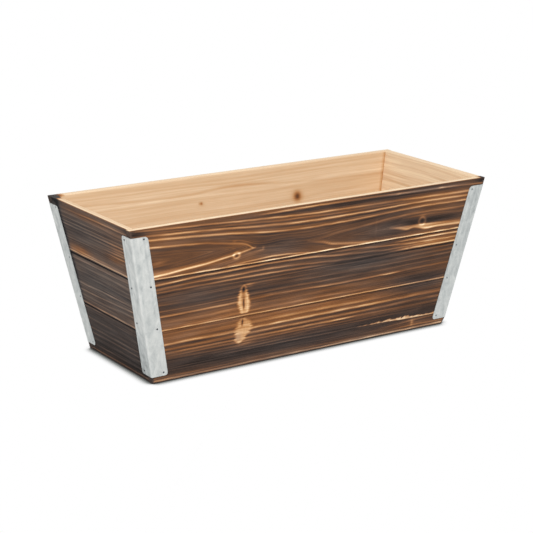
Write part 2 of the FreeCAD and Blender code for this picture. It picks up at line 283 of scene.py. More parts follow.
def wander(at, pitch, seed):
    """a smooth random course between -1 and 1, with a new value every pitch"""
    values = np.random.default_rng(seed).uniform(-1, 1, 512)
    place = at / pitch + 200
    cell = np.floor(place).astype(int) % 511
    t = place - np.floor(place)
    t = t * t * (3 - 2 * t)
    return values[cell] * (1 - t) + values[cell + 1] * t


# A line's strength flickers along it, its course sways, and it ends a little past its points
FLICKER, FLICKER_PITCH = 0.22, 14
SWAY, SWAY_PITCH = 0.18, 9
PAST_POINTS = 4
# Under a pale line the softer early wood sinks and stays dark, and a painted shadow lies below the raised
# line
SUNK_AND_SHADOW, SUNK_AND_SHADOW_BELOW, SUNK_AND_SHADOW_WIDTH = 0.22, 1.3, 1.0


def draw_lines(tone, u, v, lines, seed):
    """lay each line on the tone: softness above and below, then points of along, up and strength"""
    for number, (above, below, points) in enumerate(lines):
        strength = curve(u, points, 2, HUNDREDTHS) * (1 + FLICKER * wander(u, FLICKER_PITCH, seed + number))
        outside = (u < points[0][0] - PAST_POINTS) | (u > points[-1][0] + PAST_POINTS)
        strength = np.where(outside, 0, strength)
        away = v - curve(u, points, 1) - SWAY * wander(u, SWAY_PITCH, seed + 50 + number)
        line = bell(away / np.where(away > 0, above, below))
        # the dip below each pale line is painted shadow as well as the darker sunk early wood
        tone += strength * (line - SUNK_AND_SHADOW * bell((away + below + SUNK_AND_SHADOW_BELOW) / SUNK_AND_SHADOW_WIDTH))


def draw_bands(tone, u, v, bands):
    """lay flat bands: softness of the edges, then points of along, low edge, high edge and strength"""
    for soft, points in bands:
        inside = (u > points[0][0]) & (u < points[-1][0])
        low, high = curve(u, points, 1), curve(u, points, 2)
        rise = clamp((v - low) / soft + 0.5) * clamp((high - v) / soft + 0.5)
        tone += np.where(inside, curve(u, points, 3, HUNDREDTHS) * rise, 0)


# The torn strip: softness of its foot and top, how much its height and strength vary, and the
# slant and pitch of its splinters
TORN_FOOT, TORN_TOP = 0.6, 1.3
TORN_HEIGHT, TORN_VARIES, TORN_SLANT, TORN_PITCH = 0.85, 0.42, 1.3, 2.4
TORN_STRENGTH, TORN_FADES, FADE_PITCH = 0.95, 0.2, 3.3


def draw_torn(tone, u, v, points, seed):
    """lay a pale strip, straight underneath and torn along its top: along, foot, height and strength"""
    foot = curve(u, points, 1)
    splinters = wander(u - TORN_SLANT * (v - foot), TORN_PITCH, seed)
    height = curve(u, points, 2) * (TORN_HEIGHT + TORN_VARIES * splinters)
    inside = clamp((v - foot) / TORN_FOOT + 0.5) * clamp((foot + height - v) / TORN_TOP + 0.5)
    inside = np.where((u > points[0][0]) & (u < points[-1][0]), inside, 0)
    fading = TORN_STRENGTH + TORN_FADES * wander(u, FADE_PITCH, seed + 1)
    tone += curve(u, points, 3, HUNDREDTHS) * inside * fading


def draw_patches(values, u, v, patches):
    """add soft patches: middle along and up, reach along and up, strength"""
    for middle_u, middle_v, reach_u, reach_v, strength in patches:
        away = ((u - middle_u) / reach_u) ** 2 + ((v - middle_v) / reach_v) ** 2
        values += strength / HUNDREDTHS * np.exp(-away)


def even_lines(seed, low, high, strength, reach, tilt):
    """lines of late wood on a face that the tables leave out, from a steady random run"""
    random = np.random.default_rng(seed)
    lines, height = [], low + random.uniform(1, 4)
    while height < high:
        ends = height + random.uniform(-tilt, tilt, 4)
        weights = strength * random.uniform(0.1, 1.0) * random.uniform(0.6, 1.3, 4)
        width = random.uniform(0.7, 1.4)
        places = (-reach, -reach / 3, reach / 3, reach)
        lines.append((width * 1.2, width, list(zip(places, ends, weights))))
        height += random.uniform(3.2, 6.4)
    return lines


# A cut knot's sides: how much they vary, how they sag outwards, and how light runs beside the edge
KNOT_VARIES, KNOT_SAG = 0.06, 0.10
EDGE_LIGHT_AT, EDGE_LIGHT_WIDTH = 0.72, 0.3
SOOT_LEFT = 0.7


def spike_knot(tone, soot, u, v, spindle, body, glow, soft, torn, marks):
    """a branch cut along its length: a pale spindle, of height, middle and half width, with frayed sides"""
    beyond = (v < spindle[0][0]) | (v > spindle[-1][0])
    half = np.where(beyond, 0, np.maximum(curve(v, spindle, 2), 0))
    side = np.abs(u - curve(v, spindle, 1))
    sag = v + KNOT_SAG * side
    fray = half * (1 + KNOT_VARIES * wander(sag, 2.1, 71)) + torn * wander(sag, 1.1, 72)
    inside = clamp((fray - side) / soft + 0.5) * clamp(half / 1.5)
    inside = inside * inside * (3 - 2 * inside)
    edge_light = bell((side - EDGE_LIGHT_AT * half) / (EDGE_LIGHT_WIDTH * half + 0.6))
    body = body + glow * edge_light + 0.04 * wander(sag, 1.4, 74) + 0.02 * wander(u, 1.6, 75)
    tone[:] = tone * (1 - inside) + body * inside
    soot[:] = soot * (1 - SOOT_LEFT * inside)
    draw_patches(tone, u, v, marks)


def ring_knot(tone, u, v, place, height, reach_u, reach_v, band, light, heart):
    """a small round knot: a pale ring round a darker heart"""
    away = np.hypot((u - place) / reach_u, (v - height) / reach_v)
    tone += light * bell((away - 1) / band) - heart * bell(away / 0.55)


# The front, read from the photograph

FRONT_BASE = [
    (0, 23), (1.5, 26), (4.6, 31), (8, 28), (12, 25), (18, 23), (24, 26), (30, 34), (35, 33), (40, 35),
    (46, 42), (53, 44), (60, 44), (65, 43), (70, 38.5), (78, 34), (84, 29), (90, 32), (96, 31), (103, 33),
    (108, 34.5), (112, 34.5), (118, 40), (125, 35.5), (130, 34), (138, 36), (143, 36), (150, 39),
    (156, 40), (160, 39), (164, 33), (168, 40),
]
FRONT_PATCHES = [
    (150, 52, 55, 6, -18), (150, 65, 58, 6, -16), (150, 32, 55, 12, -5), (70, 98, 42, 8, -8),
    (160, 105, 38, 8, 12), (-110, 14, 60, 7, -2), (-150, 130, 48, 8, 3), (-45, 133, 32, 9, -3),
    (95, 121, 30, 4, -9), (162, 131, 30, 2.4, -10), (102, 134, 20, 3.5, -7), (165, 154, 42, 6, 12),
    (50, 164, 90, 2.4, -7), (-40, 50, 60, 5, 5), (-190, 121, 30, 4, 14), (20, 113, 30, 3, -4),
    (-185, 158, 25, 7, 6), (-110, 70, 40, 8, 6), (80, 152, 42, 12, -8), (135, 61.5, 55, 2.4, -10),
    (150, 9.8, 60, 3.4, 10), (135, 169, 75, 1.5, -15), (-125, 122.2, 42, 2.6, 11),
    (-84, 126.6, 13, 3.2, 13), (-98, 137.5, 15, 3.6, 9), (-192, 131.5, 9, 3, 13),
    (-186, 126.3, 16, 1.6, -9), (-60, 40, 40, 1.2, 6),
]
FRONT_SOOT = [
    (-100, 137, 22, 5, -30), (-190, 131, 12, 4, -30), (60, 2.6, 260, 2.2, 60), (60, 93, 75, 13, 55),
    (-135, 88, 50, 10, 35), (-20, 16, 150, 9, 45), (90, 128, 38, 11, 35), (-45, 128, 32, 10, 30),
    (150, 56, 50, 10, 30), (-150, 133, 45, 9, -25), (0, 50, 120, 7, -20), (165, 105, 40, 10, -25),
    (-60, 105, 60, 6, 15),
]
FRONT_LINES = [
    # foot
    (1.1, 0.8, [(-195, 3.1, 36), (-110, 3.1, 30), (-60, 3.4, 34), (20, 3, 40), (60, 3, 44), (195, 3.2, 50)]),
    (0.9, 0.9, [(-185, 6.2, 16), (-110, 6, 10), (-60, 7.6, 6), (-20, 6.6, 10), (20, 6, 14), (60, 5.6, 12),
        (100, 5.6, 8), (140, 6.8, 22), (185, 6.2, 22)]),
    (1.1, 1, [(90, 11, 0), (125, 11.6, 14), (150, 13.2, 20), (185, 13.8, 10)]),
    # dark band with thin lines
    (0.8, 0.7, [(-125, 18.8, 3), (-60, 18.8, 16), (-20, 18.5, 13), (20, 18, 8), (60, 18.2, 12)]),
    (0.8, 0.8, [(-140, 22.4, 6), (-60, 21.8, 15), (-20, 22.2, 13), (20, 22, 7), (60, 21.5, 5),
        (90, 21.4, 0)]),
    (0.8, 0.8, [(-175, 26, 5), (-110, 25, 14), (-60, 25, 15), (-20, 25.5, 13), (20, 25.5, 7), (60, 25, 8),
        (100, 24.6, 7), (150, 24.8, 3)]),
    (0.9, 0.9, [(-175, 28.6, 4), (-110, 28.8, 15), (-60, 28.5, 16), (-20, 28.8, 22), (20, 28.5, 16),
        (60, 28.5, 10), (100, 28.8, 8), (150, 28.2, 3)]),
    (1.1, 1, [(-180, 32, 18), (-110, 32, 24), (-60, 31.8, 25), (-20, 31.8, 30), (20, 32, 26),
        (60, 31.8, 20), (100, 31.8, 17), (140, 31.5, 12), (185, 31.5, 12)]),
    (1, 0.7, [(8, 31.6, 0), (22, 31.2, 15), (38, 31.4, 30), (58, 31.6, 14), (66, 31.6, 0)]),
    (1.2, 1.2, [(-180, 36.3, 22), (-110, 36.3, 22), (-60, 37, 32), (-20, 36.8, 33), (20, 36.8, 26),
        (60, 36.5, 26), (100, 36.5, 22), (140, 37.2, 17), (185, 37, 14)]),
    (1.7, 1, [(-185, 42, 32), (-140, 42, 36), (-110, 41.4, 30), (-60, 42.2, 40), (-20, 42.5, 42),
        (20, 42.3, 43), (60, 42.3, 43), (100, 42.3, 40), (140, 42.9, 28), (185, 43.2, 16)]),
    (1.6, 1.3, [(-180, 48.2, 5), (-110, 48.5, 10), (-60, 48.8, 17), (-20, 48.8, 20), (20, 48.8, 23),
        (60, 48.5, 20), (100, 48.8, 13), (140, 50, 8), (185, 50.4, 4)]),
    (0.7, 1, [(-180, 53.6, 5), (-60, 54.2, 5), (60, 54.4, 4), (120, 54.2, 2), (185, 54, 1)]),
    # lower sanded arris
    (0.85, 0.75, [(-195, 58.1, 34), (-60, 58.1, 36), (60, 58.1, 36), (140, 58.1, 40), (195, 58.1, 34)]),
    # middle
    (0.9, 1, [(-190, 60.7, 4), (-110, 61, 13), (-60, 63.1, 14), (-20, 63, 15), (20, 63, 11),
        (60, 61.9, 9), (100, 61, 13), (160, 61.8, 3)]),
    (1.3, 1.3, [(-195, 67.6, 7), (-140, 66.4, 9), (-110, 67.4, 13), (-60, 68, 7), (-20, 68, 7),
        (20, 69.6, 8), (100, 68.4, 5), (140, 68.6, 7), (190, 70.2, 4)]),
    (0.9, 0.9, [(-200, 73.6, 28), (-140, 73.8, 30), (-110, 74.2, 28), (-60, 75.8, 20), (-20, 75.8, 24),
        (20, 74.8, 30), (60, 74.8, 25), (85, 75, 27), (108, 75.2, 42), (120, 75.5, 16), (140, 76, 17),
        (195, 76.6, 10)]),
    (0.8, 0.8, [(-200, 79.2, 13), (-140, 79.2, 9), (-110, 80, 12), (-60, 81, 8), (-20, 81.2, 12),
        (20, 80.8, 17), (60, 81, 13), (100, 80.8, 15), (140, 81.8, 12), (195, 82.2, 10)]),
    (0.8, 0.8, [(-200, 86.6, 12), (-140, 85.4, 5), (-60, 87.2, 6), (20, 86.8, 12), (60, 87, 9),
        (100, 86.5, 12), (140, 87, 10), (195, 87.8, 17)]),
    (0.8, 0.8, [(-150, 91, 4), (-110, 91.2, 7), (-60, 92.8, 14), (-20, 91.4, 7), (20, 92, 5),
        (100, 90.6, 4), (140, 91.8, 7), (195, 92, 16)]),
    (0.9, 0.9, [(-205, 95.2, 5), (-140, 97.6, 9), (-110, 97.2, 12), (-60, 96.3, 11), (-20, 96.5, 11),
        (20, 96.2, 7), (60, 95.6, 3), (140, 96.5, 10), (200, 96.8, 15)]),
    (1, 0.8, [(-205, 100.2, 16), (-140, 100.8, 24), (-110, 101, 30), (-60, 100.8, 36), (-20, 100.2, 28),
        (5, 99.5, 12), (24, 99, 2)]),
    (1, 0.9, [(-205, 103.4, 18), (-140, 105.2, 28), (-110, 105.2, 31), (-60, 105.8, 30), (-20, 104.5, 24),
        (20, 102, 17), (60, 100.6, 12), (100, 100.5, 12), (122, 100.9, 14)]),
    (1, 0.9, [(-208, 108.2, 38), (-180, 109, 42), (-140, 111, 38), (-110, 111.2, 42), (-60, 111.8, 47),
        (-20, 111.2, 42), (0, 110.2, 38), (20, 108.2, 34), (60, 105.8, 20), (100, 103.8, 14),
        (125, 103.5, 6)]),
    (0.9, 0.9, [(5, 111.9, 6), (40, 111.6, 16), (60, 110.8, 19), (100, 108.2, 20), (122, 107, 28),
        (140, 106.5, 30), (205, 105.8, 28)]),
    (1, 0.9, [(104, 100.9, 6), (125, 101.1, 36), (140, 101.2, 42), (205, 101, 46)]),
    (0.8, 0.8, [(112, 103.8, 3), (140, 103.9, 12), (205, 103.6, 12)]),
    (0.8, 0.8, [(112, 108.6, 2), (140, 108.9, 8), (205, 108.4, 10)]),
    (1, 0.9, [(104, 110.8, 4), (126, 111.1, 34), (140, 111.2, 40), (205, 111, 40)]),
    # upper sanded arris, and the lens above it
    (0.95, 0.85, [(-215, 115.4, 50), (-150, 115.4, 48), (-100, 115.4, 50), (-60, 115.4, 62),
        (60, 115.4, 64), (140, 115.4, 58), (215, 115.4, 54)]),
    (0.9, 0.8, [(-106, 117, 12), (-80, 118.1, 36), (-60, 119.2, 46), (-40, 118.9, 42), (-25, 117.9, 30),
        (-12, 116.9, 12)]),
    # left flame
    (1.2, 1.1, [(-212, 117.2, 40), (-180, 119.3, 38), (-160, 121.2, 37), (-140, 122.8, 37),
        (-110, 126.9, 34), (-98, 128.6, 26), (-86, 130.6, 28), (-80, 131.8, 20), (-77, 132.2, 0)]),
    (3.2, 2.6, [(-212, 118, 8), (-170, 120.6, 9), (-130, 124.2, 8), (-100, 128, 6), (-85, 130.4, 0)]),
    (1, 1, [(-212, 150.4, 38), (-180, 148.3, 40), (-160, 147.2, 30), (-140, 145.8, 26), (-122, 143.2, 22),
        (-108, 141.1, 20), (-96, 139.3, 17), (-89, 137.4, 20), (-84, 135, 24), (-80, 132.4, 20)]),
    # right flame
    (1.2, 1.4, [(-9, 129.2, 4), (0, 127.5, 14), (12, 125, 22), (20, 122.4, 28), (32, 120.5, 28),
        (48, 118.7, 25), (62, 117.3, 22), (78, 116.7, 10)]),
    (1, 1.1, [(-9, 129.6, 5), (5, 130.6, 6), (24, 133, 10), (60, 136.2, 13), (100, 139.8, 19),
        (120, 141, 23), (140, 141.2, 24), (175, 140.8, 24), (212, 140.4, 20)]),
    (1, 1, [(118, 137, 2), (140, 138, 13), (168, 137.4, 6), (185, 136.8, 2)]),
    # light streak past the ring knot
    (1, 1, [(100, 128.4, 6), (112, 126.2, 12), (122, 124.2, 16), (130, 125.2, 10), (138, 124, 16),
        (146, 122.2, 20), (165, 122.2, 18), (212, 120.2, 16)]),
    (0.8, 0.8, [(132, 127.2, 6), (144, 126.4, 14), (160, 126.2, 8), (210, 124.6, 10)]),
    # arcs above the flames
    (1.1, 1, [(-215, 158.6, 40), (-180, 156.5, 36), (-140, 154.2, 36), (-110, 151.8, 38),
        (-60, 146.8, 40), (-20, 144.8, 34), (20, 144.8, 42), (60, 145.5, 34), (100, 147.2, 24),
        (140, 148.2, 30), (175, 147.8, 34), (215, 147.6, 34)]),
    (1, 1, [(-218, 163.4, 24), (-180, 161.2, 30), (-140, 159.2, 33), (-110, 157.2, 33), (-60, 153.8, 33),
        (-20, 152, 36), (20, 151.8, 42), (60, 152, 44), (100, 152.8, 36), (140, 153.5, 31),
        (175, 153, 30), (215, 152.8, 30)]),
    (0.8, 0.8, [(-215, 165.8, 6), (-180, 164.2, 10), (-140, 162.5, 7), (-110, 160.8, 10),
        (-60, 158.2, 10), (-20, 156.8, 16), (20, 156, 18), (60, 156, 12), (100, 156.2, 9), (135, 156.6, 6)]),
    (1.1, 1, [(-215, 168.8, 14), (-180, 167.2, 22), (-140, 165.5, 25), (-110, 164, 30), (-60, 161.8, 33),
        (-20, 160, 40), (20, 159.5, 34), (60, 159.2, 22), (100, 159.2, 22), (140, 158.5, 28),
        (175, 158, 27), (215, 157.6, 24)]),
    (0.8, 0.8, [(82, 166.6, 4), (108, 166.5, 24), (140, 166.3, 22), (170, 166, 24), (205, 165.2, 20),
        (222, 164.4, 34)]),
    (0.9, 0.9, [(-78, 166.8, 4), (-52, 167.2, 30), (0, 167.7, 34), (20, 167.6, 30), (60, 167.4, 18),
        (110, 167.2, 6), (140, 167.4, 0)]),
]
FRONT_TORN = [
    (64, 17.6, 0.7, 14), (72, 17.5, 0.9, 46), (80, 17.4, 1.2, 50), (100, 17.3, 1.7, 58),
    (112, 16.9, 2.7, 60), (126, 16.1, 3.2, 60), (136, 15.9, 3.2, 60), (144, 15.9, 2, 58),
    (155, 15.7, 2, 62), (185, 15.4, 1.9, 60),
]
FRONT_BANDS = [
    # the pale band under the ring knot, and the dark one above it
    (1.8, [(98, 127.2, 129.4, 4), (108, 125.4, 128.6, 18), (120, 122.8, 128, 27), (130, 124.2, 127.6, 26),
        (138, 122.8, 127.4, 32), (144, 120.8, 127.2, 36), (160, 121.2, 126.4, 32),
        (180, 120.6, 125.4, 28), (214, 119, 123.6, 24)]),
    (3, [(112, 130, 133, -3), (128, 128.6, 134, -10), (138, 128.4, 134.4, -8), (150, 127.6, 133.6, -9),
        (172, 127.6, 133, -7), (214, 127, 132, -3)]),
    # brushed clean at the right end of the middle strip
    (1.6, [(96, 103.5, 105.5, 0), (112, 101.5, 106.5, 4), (130, 100.4, 107, 6), (208, 100, 107, 5)]),
    (1.2, [(110, 98.2, 99.9, -3), (130, 97.6, 99.8, -12), (208, 97.4, 99.6, -12)]),
]
# The ring field above the upper groove: each stratum's points are along, up and its ring
FRONT_STRATA = [
    [(-225, 113.5, 7.6), (-180, 113.5, 5.2), (-140, 113.5, 1.6), (-110, 113.5, -1.4), (-79, 113.5, -5.3),
        (-43, 113.5, -4), (-9, 113.5, -2.4), (12, 113.5, 0.8), (32, 113.5, 4.4), (62, 113.5, 7),
        (100, 113.5, 8.2), (225, 113.5, 8.3)],
    [(-225, 116, 10), (-180, 119.3, 10), (-140, 122.8, 10), (-110, 126.9, 10), (-79, 131.7, 10),
        (-43, 130, 10), (-9, 128.8, 10), (12, 125, 10), (20, 122.4, 10), (32, 120.5, 10), (62, 117.3, 10),
        (100, 115.8, 10), (225, 115.4, 10)],
    [(-225, 133.5, -7), (-180, 134, -4.5), (-140, 134.8, -0.7), (-110, 134.5, 3.3), (-98, 133.7, 6),
        (-86, 133, 8.8), (-79, 132.2, 10), (-43, 131, 10.6), (-9, 129.4, 10), (12, 128.2, 7),
        (24, 127.6, 4.5), (60, 127, 0.5), (100, 127.8, -2), (140, 128.2, -2.8), (225, 128, -2.4)],
    [(-225, 150.8, 10), (-180, 148.3, 10), (-140, 145.8, 10), (-108, 141.1, 10), (-96, 139.3, 10),
        (-84, 135.2, 10), (-79, 132.8, 10), (-43, 132, 10), (-9, 130, 10), (5, 131, 10), (24, 133, 10),
        (60, 136.2, 10), (100, 139.8, 10), (140, 141.2, 10), (225, 140.4, 10)],
    [(-225, 159.2, 19), (-180, 156.5, 19), (-140, 154.2, 19), (-110, 151.8, 19), (-60, 146.8, 19),
        (-20, 144.8, 19), (20, 144.8, 19), (60, 145.5, 19), (100, 147.2, 19), (140, 148.2, 19),
        (225, 147.6, 19)],
    [(-225, 170.2, 30), (-180, 167.2, 30), (-140, 165.5, 30), (-110, 164, 30), (-60, 161.8, 30),
        (-20, 160, 30), (20, 159.5, 30), (60, 159.2, 30), (100, 159.2, 30), (140, 158.5, 30),
        (225, 157.4, 30)],
]
UPPER_KNOT = [
    (60.5, -84.5, 4.6), (65, -84.6, 6.4), (70, -85.6, 7), (75, -86.4, 7.4), (80, -87, 6.4),
    (85, -87.5, 4.6), (90, -87.6, 2.6), (93, -87.4, 1),
]
UPPER_KNOT_MARKS = [
    (-87.4, 88, 2.6, 3.6, -62), (-86.8, 79.5, 2.8, 4.5, -16), (-86.4, 73.5, 1, 3.6, -42),
    (-85.6, 68.5, 0.9, 3.4, -42), (-82, 92.6, 7, 0.9, 26), (-80.5, 90, 4.5, 0.8, 16),
]
LOWER_KNOT = [
    (27, -89, 0.5), (29, -88.4, 4), (32, -87.8, 7.2), (36, -86.2, 8.8), (41, -84.4, 10),
    (46, -83.6, 9.6), (50, -84, 7.8), (53, -85, 5.4), (55.4, -85.6, 3),
]
LOWER_KNOT_MARKS = [
    (-86, 50.5, 1.1, 3.6, -44), (-90.5, 34, 3.6, 3.4, -6), (-82, 28.4, 13, 0.8, 16),
    (-79, 26, 10, 0.8, 26), (-84, 23.6, 12, 0.8, 14), (-76, 31, 8, 0.8, 10),
]
LOWER_KNOT_SOOT = [(-90, 34.5, 4, 4.4, 60)]
FRONT_SPECKS = [
    (143, 10, 1.8, 3.6, 22), (143, 10.5, 4.5, 1.4, 12), (78, 133, 0.9, 10, 5), (-103, 142.6, 2.5, 1.2, 10),
    (88, 29, 0.8, 1.6, 5), (-69.5, 128.2, 3.4, 0.9, 16), (-67, 130.2, 1, 2, 20), (-74, 127.6, 4, 0.8, 10),
    (141, 136.5, 4, 1.6, 8), (-220, 165, 12, 5, -20), (222, 168, 8, 3, -20), (104, 166.6, 3, 0.8, 14),
    (163, 166.4, 4, 0.9, 20),
]
RIM_SOOT = [(140, 166.4, 45, 1.4, 80)]
DRAWN_ASIDE, DRAWN_HIGH = 0.5, 0.65  # the front's tables read this much too far left and too high
LESS_ABOVE, LESS_FROM = 0.012, 58  # and their base a little too pale above the lower groove


def front_figure(u, v):
    u, v = u - DRAWN_ASIDE, v + DRAWN_HIGH
    tone = curve(v, FRONT_BASE, 1, HUNDREDTHS) - LESS_ABOVE * clamp((v - LESS_FROM) / 4)
    soot = np.full(len(u), 0.10)
    draw_patches(tone, u, v, FRONT_PATCHES)
    draw_patches(soot, u, v, FRONT_SOOT)
    draw_bands(tone, u, v, FRONT_BANDS)
    draw_lines(tone, u, v, FRONT_LINES, 100)
    spike_knot(tone, soot, u, v, UPPER_KNOT, 0.75, 0.09, 4.0, 1.3, UPPER_KNOT_MARKS)
    spike_knot(tone, soot, u, v, LOWER_KNOT, 0.73, 0.02, 5.0, 2.2, LOWER_KNOT_MARKS)
    draw_patches(soot, u, v, LOWER_KNOT_SOOT)
    draw_torn(tone, u, v, FRONT_TORN, 81)
    ring_knot(tone, u, v, -99.2, 126.7, 3.6, 3.0, 0.46, 0.30, 0.13)
    ring_knot(tone, u, v, 141.2, 130.6, 4.3, 4.4, 0.34, 0.21, 0.02)
    draw_patches(tone, u, v, FRONT_SPECKS)
    draw_patches(soot, u, v, RIM_SOOT)
    return tone, clamp(soot)


def front_rings(u, v):
    """the front's ring field: level below, and above it two flames that open to the board's ends"""
    courses = [(curve(u, stratum, 1), curve(u, stratum, 2)) for stratum in FRONT_STRATA]
    ring = courses[0][1] + np.minimum(v - courses[0][0], 0)
    for (low, low_ring), (high, high_ring) in zip(courses, courses[1:]):
        ring += (high_ring - low_ring) * clamp((v - low) / np.maximum(high - low, 0.2))
    ring += np.maximum(v - courses[-1][0], 0)
    level = v - UPPER_GROOVE + 0.5 * wander(u, 60, 5)
    return np.where(v > UPPER_GROOVE, ring, level)


# The left end, read from the photograph

END_BASE = [
    (0, 24), (6, 19), (12, 19), (20, 22), (28, 24), (37, 25.5), (46, 25), (54, 26), (60, 30), (66, 32),
    (72, 33), (80, 33.5), (88, 29.5), (96, 33), (104, 33.5), (110, 33), (118, 38), (124, 34.5), (130, 32),
    (138, 31), (144, 32), (148, 32.5), (156, 34), (161, 38), (166, 37), (170, 36),
]
END_PATCHES = [
    (-56, 138, 18, 11, 8), (-42, 128, 16, 3, 7), (34, 120, 24, 4.5, 11), (40, 150, 30, 14, -5),
    (30, 95, 30, 9, -2), (-55, 64, 12, 5, 6), (-42, 52, 10, 3, 5), (-30, 10, 20, 7, -4),
    (84, 167, 20, 7, -24), (-86, 165, 10, 7, -16), (-54, 20, 5, 20, -6), (-30, 118, 30, 2.2, 6),
]
END_SOOT = [
    (0, 90, 90, 22, 40), (20, 143, 45, 12, 30), (0, 40, 90, 14, 6), (-54, 138, 18, 10, -42),
    (35, 121, 26, 6, -65), (-40, 128, 20, 4, -45), (0, 4, 90, 6, -40), (0, 163, 60, 4, -40),
    (84, 160, 20, 16, 50),
]
END_LINES = [
    # char along the two grooves
    (0.8, 0.9, [(-84, 55.2, -6), (0, 55.2, -8), (84, 55.2, -12)]),
    (0.9, 1, [(-86, 112.6, -14), (0, 112.6, -16), (86, 112.6, -22)]),
    (0.9, 0.9, [(-75, 3.2, 16), (0, 3.5, 18), (50, 3.1, 20), (75, 3, 22)]),
    (0.9, 0.9, [(-75, 11, 5), (0, 9.9, 13), (75, 9.7, 10)]),
    (0.9, 0.9, [(-75, 19.2, 12), (-10, 18, 8), (30, 17.8, 7), (75, 17.2, 4)]),
    (0.8, 0.8, [(-75, 25.2, 10), (-10, 24, 12), (10, 24, 14), (75, 22.9, 9)]),
    (0.8, 0.8, [(-75, 30.2, 10), (0, 29.6, 12), (75, 29.2, 10)]),
    (1.2, 1.2, [(-75, 39, 2), (0, 40.1, 6), (75, 40.9, 6)]),
    (0.9, 0.9, [(-75, 50.6, 6), (-30, 47.6, 5), (30, 50.8, 3), (75, 48.2, 4)]),
    (0.7, 1, [(-75, 54, 5), (0, 54.4, 8), (48, 54.5, 20), (75, 54.5, 18)]),
    (0.85, 0.75, [(-80, 58.3, 30), (0, 58.3, 33), (60, 58.5, 26), (80, 58.6, 22)]),
    (0.9, 0.9, [(-75, 61.2, 10), (-40, 62.2, 2), (10, 63.4, 3), (75, 62.6, 3)]),
    (1, 1, [(-75, 70.2, 16), (-30, 69.4, 7), (0, 67.4, 6), (75, 67.2, 5)]),
    (0.8, 0.8, [(-75, 76.6, 16), (-30, 75, 18), (10, 73.5, 15), (30, 73, 16), (75, 72.6, 8)]),
    (0.7, 0.7, [(-75, 79.6, 2), (-30, 78.6, 5), (30, 78.2, 5), (75, 77.4, 5)]),
    (0.8, 0.8, [(-75, 83.6, 6), (-30, 82.2, 17), (-10, 81.8, 22), (10, 81.8, 14), (30, 81, 16),
        (75, 80.9, 10)]),
    (0.8, 0.8, [(-75, 90, 5), (0, 91, 4), (75, 89.2, 2)]),
    (0.9, 0.9, [(-75, 95.2, 2), (0, 95.4, 4), (75, 96.4, 7)]),
    (0.8, 0.8, [(-75, 101.2, 5), (-30, 101.8, 12), (0, 101.9, 8), (75, 102, 4)]),
    (0.9, 0.8, [(-75, 108.2, 6), (-30, 108.2, 15), (0, 108.4, 14), (30, 108.5, 16), (75, 108.1, 10)]),
    (0.7, 0.7, [(-75, 111.8, 10), (0, 111.6, 4), (75, 111.8, 2)]),
    (0.9, 0.75, [(-86, 115.8, 38), (0, 115.9, 40), (45, 116.1, 34), (86, 116.3, 24)]),
    (1, 1, [(-80, 118.9, 5), (-20, 118.9, 5), (10, 118.6, 20), (30, 118.8, 18), (55, 119, 12),
        (80, 119, 5)]),
    (0.9, 0.9, [(-80, 123, 3), (0, 122.6, 3), (30, 122.4, 8), (60, 122.6, 4)]),
    (0.8, 0.7, [(-80, 132.4, 26), (-50, 132.2, 25), (-30, 132, 14), (-10, 131.8, 9), (30, 131.5, 6),
        (80, 131, 4)]),
    (0.8, 0.8, [(-80, 136.3, 20), (-50, 136, 20), (-30, 135.5, 12), (0, 134.9, 6), (40, 134.4, 5),
        (80, 134.2, 3)]),
    (0.7, 0.7, [(-80, 138.8, 12), (-50, 138.6, 10), (-20, 138.2, 4), (20, 138, 2)]),
    (0.8, 0.8, [(-80, 141.8, 18), (-50, 141.5, 16), (-20, 141.3, 8), (30, 141.2, 4), (80, 141.5, 2)]),
    (0.9, 0.8, [(-84, 145.8, 24), (-50, 145.5, 24), (-20, 145.6, 20), (10, 145.4, 17), (40, 145.3, 13),
        (84, 145.4, 10)]),
    (0.8, 0.8, [(-84, 149.4, 12), (-30, 149.4, 11), (20, 149.1, 11), (84, 149.4, 9)]),
    (0.8, 0.8, [(-84, 153.8, 10), (-30, 153.9, 12), (20, 153.7, 12), (84, 154, 10)]),
    (0.9, 0.9, [(-84, 158, 8), (-30, 158.2, 9), (20, 158.8, 9), (84, 158, 6)]),
    (1, 0.9, [(-86, 163.9, 14), (-55, 163.9, 18), (-30, 164, 26), (-5, 163.9, 24), (20, 163.4, 16),
        (50, 163.2, 8), (86, 163, 4)]),
]
# A darker and greyer strip beside the back strap, fading in from 45 mm up
BESIDE_GAP, BESIDE_REACH, BESIDE_TONE, BESIDE_SOOT = 0.4, 4.2, 0.20, 0.5
BESIDE_FROM, BESIDE_RISE = 45, 50


def end_figure(u, v):
    tone = curve(v, END_BASE, 1, HUNDREDTHS)
    soot = np.full(len(u), 0.60)
    draw_patches(tone, u, v, END_PATCHES)
    draw_patches(soot, u, v, END_SOOT)
    draw_lines(tone, u, v, END_LINES, 300)
    away = (u - half_width(v) + FLANGE_ACROSS + BESIDE_GAP) / BESIDE_REACH
    beside = bell(away) * clamp((v - BESIDE_FROM) / BESIDE_RISE)
    return tone - BESIDE_TONE * beside, clamp(soot + BESIDE_SOOT * beside)


# The back and the right end, which the photograph doesn't show from outside

OTHER_ARRISES = ((58.1, 34), (115.5, 48))
LINES_SWAY, LINES_SWAY_PITCH, LINES_SWAY_FROM = 2.4, 80, 60
PARTING, PARTING_ALONG, PARTING_UP = 1.5, 4.5, 3


